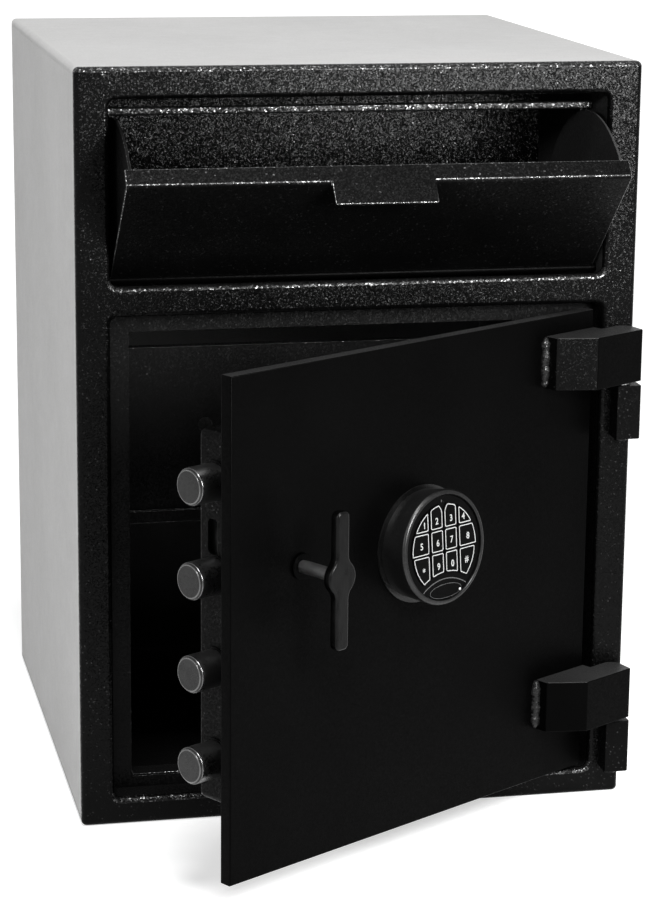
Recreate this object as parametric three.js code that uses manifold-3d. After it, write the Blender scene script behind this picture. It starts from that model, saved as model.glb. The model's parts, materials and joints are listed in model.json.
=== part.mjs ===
// Front-loading drop safe with a tilting deposit drawer, in millimetres, +Z up.
// The origin is the middle of the base. The front faces -Y and the hinges are on the right (+X).
import * as THREE from "three";
import { mergeVertices } from "three/addons/utils/BufferGeometryUtils.js";
import Module from "manifold-3d";

const wasm = await Module();
wasm.setup();

// Clearances and curve steps that every piece shares
const weldGap = 0.05;
const seatGap = 0.3;
const boreGap = 0.3;
const overrun = 20;
const cornerSteps = 5;
const edgeSteps = 3;
const roundSteps = 32;
const smallRoundSteps = 20;

// Body shell
const bodyWidth = 508;
const bodyDepth = 508;
const bodyHeight = 686;
const bodyWall = 6.5;
const bodyEdgeRound = 5;
const anchorHoleRadius = 7;
const anchorInset = 70;

// Front frame with the door opening below and the drawer opening above
const frameThickness = 6.5;
const frameEdgeRound = 4.5;
const stileWidth = 30;
const openingCornerRound = 7;
const doorOpeningBottom = 24.5;
const middleRailHeight = 27;
const drawerOpeningHeight = 162.5;
const topRailHeight = 28;

// Stepped jamb of the door opening
const rebateDepth = 30;
const jambWall = 6;
const stopThickness = 5;
const stopSideLip = 20;
const stopBottomLip = 10.25;
const stopTopLip = 18.5;
const stopCornerRound = 2;
const sillDepth = 20;
const sillThickness = 3.5;

// Hinges, on an axis in front of the right stile
const hingeOutside = 17;
const hingeY = -11.25;
const lowerStrapAboveDoorBottom = 50;
const upperStrapBelowDoorTop = 16;
const strapHeight = 47.5;
const strapReach = 84;
const strapLeftRise = 13.75;
const strapRampLength = 29;
const strapRise = 37.25;
const strapPastHinge = 6;
const strapEndRadius = 10.5;
const washerHeight = 4.4;
const washerRadius = 6.5;
const knuckleHeight = 49.5;
const knuckleInside = 6.75;
const knuckleOutside = 16;
const knuckleReach = 20;
const knuckleRound = 3;
const hingePinRadius = 4;
const hingePinHeadRadius = 5.5;
const hingePinHeadHeight = 2;
const hingePinInStrap = 34;

// Door, standing open
const doorOpenDegrees = 31.9;
const doorGapLeft = 4.5;
const doorGapRight = 2.5;
const doorGapBottom = 6.5;
const doorGapTop = 4.5;
const doorRecess = 8.75;
const doorThickness = 12.5;
const doorEdgeRound = 1.2;

// Boltwork behind the door
const boltRadius = 16;
const boltLength = 72;
const boltChamfer = 2;
const boltCount = 4;
const endBoltInset = 40.95;
const boltMiddleDrop = 1.25;
const boltY = 56.5;
const boltThrow = 28.5;
const boltProudWhenDrawn = 0.5;
const carrierThickness = 6;
const carrierFrontY = 30.5;
const carrierOverhang = 14;
const carrierTabThickness = 4;
const carrierTabBelow = 38;
const carrierTabAbove = 4;
const carrierTabReach = 15;
const carrierArmClearance = 4.2;
const carrierArmHeight = 14;
const carrierArmThickness = 6;
const guideBarThickness = 6;
const guideBarOffset = 8;
const guideBarOverhang = 12;
const guideBarCover = 1.25;

// Folded cover over the boltwork
const coverSideInset = 25.5;
const coverBottomInset = 54.2;
const coverTopInset = 56.9;
const coverBackY = 76.5;
const coverWall = 2;
const coverEdgeRound = 6;
const coverSlotWidth = 12;
const coverSlotHeight = 30;
const coverSlotY = 59;
const coverSlotRise = 72.6;
const collarWidth = 2;
const collarHeight = 1;

// Handle, spindle and cam
const handleInset = 78.5;
const handleRise = 48.1;
const handleGap = 41;
const handleThickness = 9;
const handleEdgeRound = 2.25;
const handleHubRadius = 15;
const handleArmHalfWidth = 7;
const handleArmUp = 56;
const handleArmDown = 62;
const handleFillet = 12;
const handleTipRound = 5;
const spindleRadius = 5.5;
const bushWall = 3;
const bushFlangeRadius = 11;
const bushFlangeHeight = 2.5;
const camThickness = 6;
const camFrontGap = 2;
const camHubRadius = 13;
const camArmHalfWidth = 7;
const crankStartDegrees = 225;
const crankPinRadius = 3.5;
const crankPinLength = 5.5;
const crankSlotGap = 1.1;

// Round keypad housing on the door's outer face, leaning back so that its face looks slightly up
const keypadOffset = -0.7;
const keypadRise = 41.6;
const keypadTiltDegrees = 4.2;
const keypadFootRadius = 52;
const keypadFootHeight = 2;
const keypadRootRadius = 47.5;
const keypadRadius = 50.2;
const keypadHeight = 30.5;
const keypadRimRound = 3;
const keypadRimChamfer = 1;
const keypadFaceRadius = 45;
const keypadRecess = 6;
const keypadFaceThickness = 3.5;
const keyRise = 1.2;
const keyFieldDrop = 1.1;
const keyFieldRadius = 39.5;
const keyFieldLowRadius = 38.2;
const keyFieldArcRadius = 52;
const keyFieldArcDrop = 72.9;
const keyColumns = 4;
const keyRows = 3;
const keyRowPitch = 20;
const keyRowTop = 27.6;
const keyHeight = 19.2;
const keyTopRowExtra = 3;
const keyBottomRowExtra = 8;
const keyInnerEdge = 1;
const keyInnerWidth = 15;
const keyOuterEdge = 18.3;
const keyCutLow = 33.5;
const keyCutSlope = 0.61;
const keyTravel = 1;
const keyGap = 0.45;
const lightRadius = 1.2;
const lightHeight = 0.8;
const lightX = 17.8;
const lightDrop = 39.8;

// Lock body behind the keypad, with its sliding bolt
const lockWidth = 82;
const lockHeight = 62;
const lockDepth = 26;
const lockOffsetX = 4;
const lockBoltWidth = 15;
const lockBoltDepth = 9;
const lockBoltLength = 26;
const lockBoltShows = 2;
const lockBoltThrow = 10;
const lockPocketSpare = 3;

// Tilting drawer, standing open
const drawerOpenDegrees = 48;
const drawerPivotY = 27.5;
const drawerPivotRise = 1.5;
const drawerRodRadius = 3.5;
const drawerEndGap = 3.25;
const drawerPanelThickness = 4.75;
const drawerPanelGap = 16.9;
const drawerFlangeLength = 17.8;
const drawerFlangeThickness = 3;
const drawerBendRound = 3;
const drawerTabWidth = 90;
const drawerTabReach = 21.5;
const drawerTabRound = 1.5;
const drawerSideInset = 10;
const drawerSideThickness = 2.5;
const drawerSideApex = 6;
const drawerSideBelow = 3;
const drawerStopLugRise = 7.5;
const drawerStopLugDegrees = 30.8;
const drawerStopLugWidthDegrees = 4.5;
const drawerFloorDegrees = -36;
const drawerFloorLength = 170;
const drawerFloorThickness = 1.5;

// Hopper that the drawer tips into, and the chute below it
const cheekThickness = 2.5;
const hopperBackGap = 19.5;
const hopperBackThickness = 2.5;
const hopperBelowOpeningTop = 38.5;
const hopperSillThickness = 3;
const stopBarY = 47;
const stopBarWidth = 8;
const stopBarHeight = 7;
const stopBarDrop = 19;
const chuteY = 88;
const chuteThickness = 2;
const chuteHeight = 163.5;
const chuteTopGap = 45;
const chuteLedge = 12;
const chuteLipRise = 11;
const chuteLipReach = 4;
const chuteHoleRadius = 6.5;
const chuteHoleInset = 98.5;
const chuteHoleDrop = 73.5;

// Paints and bare metals: colour, roughness, metalness
const shellPaint = [0xb3b2ae, 0.6, 0.1];
const frontPaint = [0x1b1b1d, 0.5, 0.2];
const doorPaint = [0x161618, 0.55, 0.2];
const innerPaint = [0x242426, 0.6, 0.2];
const boltSteel = [0x55565a, 0.3, 0.9];
const plainSteel = [0x77787b, 0.4, 0.9];
const handleSteel = [0x2a2b2e, 0.35, 0.8];
const keypadPlastic = [0x2c2d30, 0.4, 0.0];
const facePlastic = [0x151517, 0.5, 0.0];
const keyRubber = [0x1d1d20, 0.6, 0.0];
const lightLens = [0x6a1512, 0.2, 0.0];
const lockCasting = [0x8a8b8d, 0.45, 0.8];

// Sizes worked out from the ones above
const openingHalf = bodyWidth / 2 - stileWidth;
const drawerOpeningTop = bodyHeight - topRailHeight;
const drawerOpeningBottom = drawerOpeningTop - drawerOpeningHeight;
const doorOpeningTop = drawerOpeningBottom - middleRailHeight;
const jambHalf = openingHalf + jambWall;
const jambTop = doorOpeningTop + jambWall;
const stopBackY = rebateDepth + weldGap + stopThickness;
const cheekOuterX = openingHalf + cheekThickness;

const doorLeftX = doorGapLeft - openingHalf;
const doorRightX = openingHalf - doorGapRight;
const doorBottom = doorOpeningBottom + doorGapBottom;
const doorTop = doorOpeningTop - doorGapTop;
const doorBackY = doorRecess + doorThickness;
const behindDoor = doorBackY + seatGap;

const hingeX = openingHalf + hingeOutside;
const strapLeftX = hingeX - strapReach;
const hingeStrapBottoms = {
  lower: doorBottom + lowerStrapAboveDoorBottom,
  upper: doorTop - upperStrapBelowDoorTop - strapHeight,
};

const coverLeftX = doorLeftX + coverSideInset;
const coverRightX = doorRightX - coverSideInset;
const coverBottom = doorBottom + coverBottomInset;
const coverTop = doorTop - coverTopInset;
const boltPitch = (coverTop - coverBottom - endBoltInset * 2) / (boltCount - 1);
const lowestBoltZ = coverBottom + endBoltInset - boltMiddleDrop;
const boltMiddleZ = lowestBoltZ + boltPitch * (boltCount - 1) / 2;
const boltZs = Array.from({ length: boltCount }, (_, i) => lowestBoltZ + i * boltPitch);
const boltTipX = coverLeftX - boltThrow - boltProudWhenDrawn;
const carrierX = boltTipX + boltLength + seatGap;
const crankRadius = boltThrow / Math.SQRT2;
const crankStart = THREE.MathUtils.degToRad(crankStartDegrees);
const handleX = doorLeftX + handleInset;
const handleZ = boltMiddleZ + handleRise;
const keypadX = (doorLeftX + doorRightX) / 2 + keypadOffset;
const keypadZ = boltMiddleZ + keypadRise;
const lockLeftX = keypadX + lockOffsetX - lockWidth / 2;

const drawerPivotZ = drawerOpeningBottom + drawerPivotRise;
const drawerHalfWidth = openingHalf - drawerEndGap;
const drawerSideInnerX = openingHalf - drawerSideInset;
const drawerPanelHeight = drawerOpeningHeight - drawerPanelGap;
const drawerSideRadius = drawerPanelHeight - drawerFlangeThickness - seatGap;
const hopperBackY = drawerPivotY + drawerFloorLength + hopperBackGap;
const hopperBottom = doorOpeningTop - hopperBelowOpeningTop;
const chuteTop = doorOpeningTop - chuteTopGap;
const chuteBottom = chuteTop - chuteHeight;

// Turns an outline drawn in x and y, and extruded along z, into the directions of the safe
const outlineInXZ = new THREE.Matrix4().makeBasis(
  new THREE.Vector3(1, 0, 0), new THREE.Vector3(0, 0, 1), new THREE.Vector3(0, -1, 0),
);
const outlineInYZ = new THREE.Matrix4().makeBasis(
  new THREE.Vector3(0, 1, 0), new THREE.Vector3(0, 0, 1), new THREE.Vector3(1, 0, 0),
);

function rectangle(x0, x1, y0, y1, round = 0) {
  if (!round) return polygon([[x0, y0], [x1, y0], [x1, y1], [x0, y1]]);
  const shape = new THREE.Shape();
  shape.moveTo(x0 + round, y0);
  shape.lineTo(x1 - round, y0);
  shape.absarc(x1 - round, y0 + round, round, -Math.PI / 2, 0);
  shape.lineTo(x1, y1 - round);
  shape.absarc(x1 - round, y1 - round, round, 0, Math.PI / 2);
  shape.lineTo(x0 + round, y1);
  shape.absarc(x0 + round, y1 - round, round, Math.PI / 2, Math.PI);
  shape.lineTo(x0, y0 + round);
  shape.absarc(x0 + round, y0 + round, round, Math.PI, Math.PI * 3 / 2);
  return shape;
}

function polygon(points) {
  return new THREE.Shape(points.map(([x, y]) => new THREE.Vector2(x, y)));
}

function circle(x, y, radius) {
  const shape = new THREE.Shape();
  shape.absarc(x, y, radius, 0, Math.PI * 2);
  return shape;
}

function extrude(shape, length, steps = cornerSteps) {
  return new THREE.ExtrudeGeometry(shape, { depth: length, bevelEnabled: false, curveSegments: steps });
}

// Outline in x and y, standing on z = 0
function upright(shape, height, steps) {
  return extrude(shape, height, steps);
}

// Outline in x and z, from y = 0 backwards
function backward(shape, length, steps) {
  return extrude(shape, length, steps).translate(0, 0, -length).applyMatrix4(outlineInXZ);
}

// Outline in y and z, from x = 0 to the right
function sideways(shape, length, steps) {
  return extrude(shape, length, steps).applyMatrix4(outlineInYZ);
}

// Outline in x and z with rounded edges on its front and, unless it is cut off, on its back
function roundedBackward(shape, length, round, flatBack = false) {
  const core = flatBack ? length : length - round * 2;
  const geometry = new THREE.ExtrudeGeometry(shape, {
    depth: core,
    bevelEnabled: true,
    bevelThickness: round,
    bevelSize: round,
    bevelOffset: -round,
    bevelSegments: edgeSteps,
    curveSegments: cornerSteps,
  });
  geometry.translate(0, 0, -core - round).applyMatrix4(outlineInXZ);
  if (!flatBack) return geometry;
  geometry.computeBoundingBox();
  const { min, max } = geometry.boundingBox;
  const wide = max.x - min.x + overrun;
  const tall = max.z - min.z + overrun;
  const keep = new THREE.BoxGeometry(wide, length + overrun, tall);
  keep.translate((max.x + min.x) / 2, (length - overrun) / 2, (max.z + min.z) / 2);
  return common(geometry, keep);
}

function box(x0, x1, y0, y1, z0, z1) {
  const geometry = new THREE.BoxGeometry(x1 - x0, y1 - y0, z1 - z0);
  return geometry.translate((x0 + x1) / 2, (y0 + y1) / 2, (z0 + z1) / 2);
}

function rodAlongX(x0, x1, y, z, radius, steps = roundSteps) {
  const geometry = new THREE.CylinderGeometry(radius, radius, x1 - x0, steps);
  return geometry.rotateZ(Math.PI / 2).translate((x0 + x1) / 2, y, z);
}

function rodAlongY(y0, y1, x, z, radius, steps = roundSteps) {
  return new THREE.CylinderGeometry(radius, radius, y1 - y0, steps).translate(x, (y0 + y1) / 2, z);
}

// A turned piece along y: pairs of radius and place along y, closed on the axis or on itself
function turnedAlongY(profile, steps = roundSteps) {
  return new THREE.LatheGeometry(profile.map(([radius, y]) => new THREE.Vector2(radius, y)), steps);
}

function toSolid(geometry) {
  const bare = geometry.clone();
  bare.deleteAttribute("normal");
  bare.deleteAttribute("uv");
  const merged = mergeVertices(bare);
  return new wasm.Manifold(new wasm.Mesh({
    numProp: 3,
    vertProperties: Float32Array.from(merged.attributes.position.array),
    triVerts: Uint32Array.from(merged.index.array),
  }));
}

function toGeometry(solid) {
  const { vertProperties, triVerts } = solid.getMesh();
  const geometry = new THREE.BufferGeometry();
  geometry.setAttribute("position", new THREE.BufferAttribute(vertProperties, 3));
  geometry.setIndex(new THREE.BufferAttribute(triVerts, 1));
  geometry.computeVertexNormals();
  return geometry;
}

function cut(geometry, ...cutters) {
  return toGeometry(cutters.reduce((solid, cutter) => solid.subtract(toSolid(cutter)), toSolid(geometry)));
}

function join(geometry, ...others) {
  return toGeometry(others.reduce((solid, other) => solid.add(toSolid(other)), toSolid(geometry)));
}

function common(geometry, other) {
  return toGeometry(toSolid(geometry).intersect(toSolid(other)));
}

function piece(group, name, geometry, [color, roughness, metalness], x = 0, y = 0, z = 0) {
  const material = new THREE.MeshStandardMaterial({ color, roughness, metalness, flatShading: true });
  const mesh = new THREE.Mesh(geometry, material);
  mesh.name = name;
  mesh.position.set(x, y, z);
  group.add(mesh);
}

// Top, bottom, side and back plates of the shell, behind the front frame
function addShell(group) {
  const half = bodyWidth / 2;
  const plateY = frameThickness + weldGap;
  const length = bodyDepth - plateY;
  const capRound = rectangle(-half, half, 0, bodyEdgeRound * 2 + bodyWall, bodyEdgeRound);
  const cap = backward(capRound, length);
  const cutOff = box(-bodyWidth, bodyWidth, -overrun, bodyDepth + overrun, bodyWall, bodyHeight);
  const bottomPlate = cut(cap, cutOff);
  const topPlate = bottomPlate.clone().rotateY(Math.PI);
  const anchors = [-1, 1].flatMap((side) => [anchorInset, bodyDepth - anchorInset].map((y) => (
    upright(circle(side * (half - anchorInset), y - plateY, anchorHoleRadius), bodyWall + overrun)
      .translate(0, 0, -overrun / 2)
  )));
  piece(group, "body_bottom", cut(bottomPlate, ...anchors), shellPaint, 0, plateY, 0);
  piece(group, "body_top", topPlate, shellPaint, 0, plateY, bodyHeight);
  const sideHeight = bodyHeight - bodyWall * 2 - weldGap * 2;
  const side = new THREE.BoxGeometry(bodyWall, length, sideHeight);
  const middleX = half - bodyWall / 2;
  piece(group, "body_side_left", side, shellPaint, -middleX, plateY + length / 2, bodyHeight / 2);
  piece(group, "body_side_right", side.clone(), shellPaint, middleX, plateY + length / 2, bodyHeight / 2);
  const backWidth = bodyWidth - bodyWall * 2 - weldGap * 2;
  const back = new THREE.BoxGeometry(backWidth, bodyWall, sideHeight);
  piece(group, "body_back", back, shellPaint, 0, bodyDepth - bodyWall / 2, bodyHeight / 2);
}

function doorOpening(grow) {
  return rectangle(
    -openingHalf - grow, openingHalf + grow, doorOpeningBottom - grow, doorOpeningTop + grow,
    openingCornerRound + grow,
  );
}

// Front frame, the stepped jamb behind it and the flange that the bolts lock behind
function addFrame(group) {
  const face = rectangle(-bodyWidth / 2, bodyWidth / 2, 0, bodyHeight, bodyEdgeRound);
  face.holes.push(doorOpening(0));
  face.holes.push(rectangle(
    -openingHalf, openingHalf, drawerOpeningBottom, drawerOpeningTop, openingCornerRound,
  ));
  piece(group, "front_frame", roundedBackward(face, frameThickness, frameEdgeRound, true), frontPaint);
  const jamb = doorOpening(jambWall);
  jamb.holes.push(doorOpening(0));
  const jambY = frameThickness + weldGap;
  piece(group, "door_jamb", backward(jamb, rebateDepth - jambY), frontPaint, 0, jambY, 0);
  const flange = doorOpening(jambWall);
  const innerHalf = openingHalf - stopSideLip;
  flange.holes.push(rectangle(
    -innerHalf, innerHalf, doorOpeningBottom + stopBottomLip, doorOpeningTop - stopTopLip, stopCornerRound,
  ));
  const stopY = rebateDepth + weldGap;
  piece(group, "door_stop_flange", backward(flange, stopThickness), frontPaint, 0, stopY, 0);
  const sillTop = doorOpeningBottom + stopBottomLip;
  const sillY = stopBackY + weldGap;
  const sillHalf = innerHalf - stopCornerRound;
  const sill = box(-sillHalf, sillHalf, 0, sillDepth, 0, sillThickness);
  piece(group, "door_sill", sill, frontPaint, 0, sillY, sillTop - sillThickness);
}

// Cheeks, back plate, sill and stop bar of the hopper, and the chute panel below
function addHopper(group) {
  const front = frameThickness + weldGap;
  const sillBottom = jambTop + weldGap;
  const sillTop = sillBottom + hopperSillThickness;
  const notchY = stopBackY + seatGap;
  const top = bodyHeight - bodyWall - weldGap;
  const cheek = polygon([
    [front, sillTop + weldGap], [notchY, sillTop + weldGap], [notchY, hopperBottom],
    [hopperBackY, hopperBottom], [hopperBackY, top], [front, top],
  ]);
  cheek.holes.push(circle(drawerPivotY, drawerPivotZ, drawerRodRadius + boreGap));
  const cheekGeometry = sideways(cheek, cheekThickness);
  piece(group, "hopper_cheek_left", cheekGeometry, innerPaint, -cheekOuterX, 0, 0);
  piece(group, "hopper_cheek_right", cheekGeometry.clone(), innerPaint, openingHalf, 0, 0);
  const back = box(-cheekOuterX, cheekOuterX, 0, hopperBackThickness, hopperBottom, top);
  piece(group, "hopper_back_plate", back, innerPaint, 0, hopperBackY + weldGap, 0);
  const sill = box(-jambHalf, jambHalf, front, stopBackY, 0, hopperSillThickness);
  piece(group, "hopper_sill", sill, innerPaint, 0, 0, sillBottom);
  const barHalf = openingHalf - weldGap;
  const bar = box(-barHalf, barHalf, 0, stopBarWidth, 0, stopBarHeight);
  piece(group, "drawer_stop_bar", bar, frontPaint, 0, stopBarY, drawerOpeningTop - stopBarDrop);
  const panel = polygon([
    [-chuteLipReach, chuteBottom], [chuteThickness, chuteBottom],
    [chuteThickness, chuteTop - chuteThickness], [chuteLedge, chuteTop - chuteThickness],
    [chuteLedge, chuteTop], [0, chuteTop],
    [0, chuteBottom + chuteLipRise], [-chuteLipReach, chuteBottom + chuteLipRise],
  ]);
  const half = bodyWidth / 2 - bodyWall - weldGap;
  const holeX = chuteHoleInset - openingHalf;
  const holeZ = chuteTop - chuteHoleDrop;
  const hole = rodAlongY(-overrun, overrun, holeX, holeZ, chuteHoleRadius, smallRoundSteps);
  const chute = cut(sideways(panel, half * 2).translate(-half, 0, 0), hole);
  piece(group, "chute_panel", chute, innerPaint, 0, chuteY, 0);
}

// Fixed knuckle with its bore, hinge pin with a head below, and thrust washer
function addFixedHinge(group, place, strapBottom) {
  const knuckleTop = strapBottom - washerHeight - seatGap * 2;
  const knuckleBottom = knuckleTop - knuckleHeight;
  const bore = hingePinRadius + boreGap;
  const left = hingeX - knuckleInside;
  const right = hingeX + knuckleOutside;
  const front = -knuckleReach;
  const back = -weldGap;
  const outline = new THREE.Shape();
  outline.moveTo(left, back);
  outline.lineTo(left, front);
  outline.lineTo(right - knuckleRound, front);
  outline.absarc(right - knuckleRound, front + knuckleRound, knuckleRound, -Math.PI / 2, 0);
  outline.lineTo(right, back);
  outline.holes.push(circle(hingeX, hingeY, bore));
  piece(group, `hinge_knuckle_${place}`, upright(outline, knuckleHeight), frontPaint, 0, 0, knuckleBottom);
  const washer = circle(0, 0, washerRadius);
  washer.holes.push(circle(0, 0, bore));
  const washerZ = knuckleTop + seatGap;
  piece(group, `hinge_washer_${place}`, upright(washer, washerHeight), plainSteel, hingeX, hingeY, washerZ);
  const pinBottom = knuckleBottom - seatGap;
  const pinHeight = strapBottom + hingePinInStrap - pinBottom;
  const pin = new THREE.LatheGeometry([
    new THREE.Vector2(0, -hingePinHeadHeight), new THREE.Vector2(hingePinHeadRadius, -hingePinHeadHeight),
    new THREE.Vector2(hingePinHeadRadius, 0), new THREE.Vector2(hingePinRadius, 0),
    new THREE.Vector2(hingePinRadius, pinHeight), new THREE.Vector2(0, pinHeight),
  ], smallRoundSteps).rotateX(Math.PI / 2);
  piece(group, `hinge_pin_${place}`, pin, plainSteel, hingeX, hingeY, pinBottom);
}

// Cranked strap welded to the door's face, with a blind bore from below for the pin
function addStrap(group, place, strapBottom) {
  const back = doorRecess - seatGap;
  const front = doorRecess - strapRise;
  const outline = new THREE.Shape();
  outline.moveTo(strapLeftX, back);
  outline.lineTo(strapLeftX, doorRecess - strapLeftRise);
  outline.lineTo(strapLeftX + strapRampLength, front);
  outline.lineTo(hingeX + strapPastHinge, front);
  outline.lineTo(hingeX + strapEndRadius, hingeY);
  outline.absarc(hingeX, hingeY, strapEndRadius, 0, Math.PI / 2);
  outline.lineTo(doorRightX + seatGap, hingeY + strapEndRadius);
  outline.lineTo(doorRightX + seatGap, back);
  const bore = new THREE.CylinderGeometry(
    hingePinRadius + boreGap, hingePinRadius + boreGap, (hingePinInStrap + seatGap) * 2, smallRoundSteps,
  ).rotateX(Math.PI / 2).translate(hingeX, hingeY, 0);
  const strap = cut(upright(outline, strapHeight), bore);
  piece(group, `hinge_strap_${place}`, strap, frontPaint, 0, 0, strapBottom);
}

function addDoorPlate(group) {
  const outline = rectangle(doorLeftX, doorRightX, doorBottom, doorTop);
  const bush = spindleRadius + boreGap + bushWall + boreGap;
  outline.holes.push(circle(handleX, handleZ, bush + doorEdgeRound));
  const plate = roundedBackward(outline, doorThickness, doorEdgeRound);
  piece(group, "door_plate", plate, doorPaint, 0, doorRecess, 0);
}

// Cover: an open-fronted folded tray with four collared bolt holes and a slot in its left side
function addCover(group) {
  const depth = coverBackY - behindDoor;
  const mirrored = (geometry) => geometry.rotateZ(Math.PI).translate(coverLeftX + coverRightX, depth, 0);
  const innerRound = coverEdgeRound - coverWall;
  const outline = rectangle(coverLeftX, coverRightX, coverBottom, coverTop, coverEdgeRound);
  const outer = mirrored(roundedBackward(outline, depth, innerRound, true));
  const inner = box(
    coverLeftX + coverWall, coverRightX - coverWall, -overrun, depth - coverWall,
    coverBottom + coverWall, coverTop - coverWall,
  );
  const y = boltY - behindDoor;
  const holeRadius = boltRadius + boreGap;
  const collars = boltZs.map((z) => rodAlongX(
    coverLeftX - collarHeight, coverLeftX + coverWall, y, z, holeRadius + collarWidth,
  ));
  const holes = boltZs.map((z) => (
    rodAlongX(coverLeftX - overrun, coverLeftX + overrun / 2, y, z, holeRadius)
  ));
  const slotZ = boltMiddleZ + coverSlotRise - coverSlotHeight / 2;
  const slotY = coverSlotY - coverSlotWidth / 2 - behindDoor;
  const slot = sideways(
    rectangle(slotY, slotY + coverSlotWidth, slotZ, slotZ + coverSlotHeight, innerRound), overrun,
  ).translate(coverLeftX - overrun / 2, 0, 0);
  const cover = cut(join(cut(outer, inner), ...collars), ...holes, slot);
  piece(group, "boltwork_cover", cover, innerPaint, 0, behindDoor, 0);
}

// Bar standing behind the cover's left side, which the bolts slide through
function addGuideBar(group) {
  const front = behindDoor;
  const back = boltY + boltRadius + guideBarCover;
  const low = boltZs[0] - boltRadius - guideBarOverhang;
  const high = boltZs[boltCount - 1] + boltRadius + guideBarOverhang;
  const outline = rectangle(front, back, low, high);
  boltZs.forEach((z) => outline.holes.push(circle(boltY, z, boltRadius + boreGap)));
  const bar = sideways(outline, guideBarThickness, roundSteps / 2);
  piece(group, "bolt_guide_bar", bar, plainSteel, coverLeftX + coverWall + guideBarOffset, 0, 0);
}

function addBolts(group) {
  const bolt = new THREE.LatheGeometry([
    new THREE.Vector2(0, 0), new THREE.Vector2(boltRadius - boltChamfer, 0),
    new THREE.Vector2(boltRadius, boltChamfer), new THREE.Vector2(boltRadius, boltLength),
    new THREE.Vector2(0, boltLength),
  ], roundSteps).rotateZ(-Math.PI / 2);
  boltZs.forEach((z, i) => {
    piece(group, `locking_bolt_${i + 1}`, bolt.clone(), boltSteel, boltTipX, boltY, z);
  });
}

// Carrier bar behind the bolts, with the slotted tab that the crank pin works in and an arm to the lock
function addCarrier(group) {
  const low = boltZs[0] - boltRadius - carrierOverhang;
  const high = boltZs[boltCount - 1] + boltRadius + carrierOverhang;
  const right = carrierX + carrierThickness;
  const bar = box(carrierX, right, carrierFrontY, boltY + boltRadius, low, high);
  const pinX = handleX + crankRadius * Math.cos(crankStart);
  const slotHalf = crankPinRadius + crankSlotGap;
  const slotTop = handleZ + crankRadius * Math.sin(crankStart) + slotHalf;
  const slotBottom = handleZ - crankRadius - slotHalf;
  const tab = box(
    pinX - carrierTabReach, right, carrierFrontY, carrierFrontY + carrierTabThickness,
    handleZ - carrierTabBelow, slotTop + carrierTabAbove,
  );
  const armFront = behindDoor + lockDepth / 2 - carrierArmThickness / 2;
  const armEnd = lockLeftX - lockBoltShows - lockBoltThrow - boltThrow - carrierArmClearance;
  const arm = box(
    carrierX, armEnd, armFront, armFront + carrierArmThickness,
    keypadZ - carrierArmHeight / 2, keypadZ + carrierArmHeight / 2,
  );
  const slotShape = rectangle(pinX - slotHalf, pinX + slotHalf, slotBottom, slotTop, slotHalf - weldGap);
  const slot = backward(slotShape, carrierTabThickness + overrun)
    .translate(0, carrierFrontY - overrun / 2, 0);
  piece(group, "bolt_carrier", cut(join(bar, tab, arm), slot), plainSteel);
}

// Handle: a round hub with two arms that run out of it in hollow fillets
function handleOutline() {
  const side = handleArmHalfWidth + handleFillet;
  const reach = handleHubRadius + handleFillet;
  const level = Math.sqrt(reach * reach - side * side);
  const lean = Math.atan2(level, side);
  const tip = handleTipRound;
  const outline = new THREE.Shape();
  outline.moveTo(handleArmHalfWidth, level);
  outline.lineTo(handleArmHalfWidth, handleArmUp - tip);
  outline.absarc(handleArmHalfWidth - tip, handleArmUp - tip, tip, 0, Math.PI / 2);
  outline.lineTo(tip - handleArmHalfWidth, handleArmUp);
  outline.absarc(tip - handleArmHalfWidth, handleArmUp - tip, tip, Math.PI / 2, Math.PI);
  outline.lineTo(-handleArmHalfWidth, level);
  outline.absarc(-side, level, handleFillet, 0, -lean, true);
  outline.absarc(0, 0, handleHubRadius, Math.PI - lean, Math.PI + lean);
  outline.absarc(-side, -level, handleFillet, lean, 0, true);
  outline.lineTo(-handleArmHalfWidth, tip - handleArmDown);
  outline.absarc(tip - handleArmHalfWidth, tip - handleArmDown, tip, Math.PI, Math.PI * 3 / 2);
  outline.lineTo(handleArmHalfWidth - tip, -handleArmDown);
  outline.absarc(handleArmHalfWidth - tip, tip - handleArmDown, tip, -Math.PI / 2, 0);
  outline.lineTo(handleArmHalfWidth, -level);
  outline.absarc(side, -level, handleFillet, Math.PI, Math.PI - lean, true);
  outline.absarc(0, 0, handleHubRadius, -lean, lean);
  outline.absarc(side, level, handleFillet, Math.PI + lean, Math.PI, true);
  return outline;
}

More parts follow.
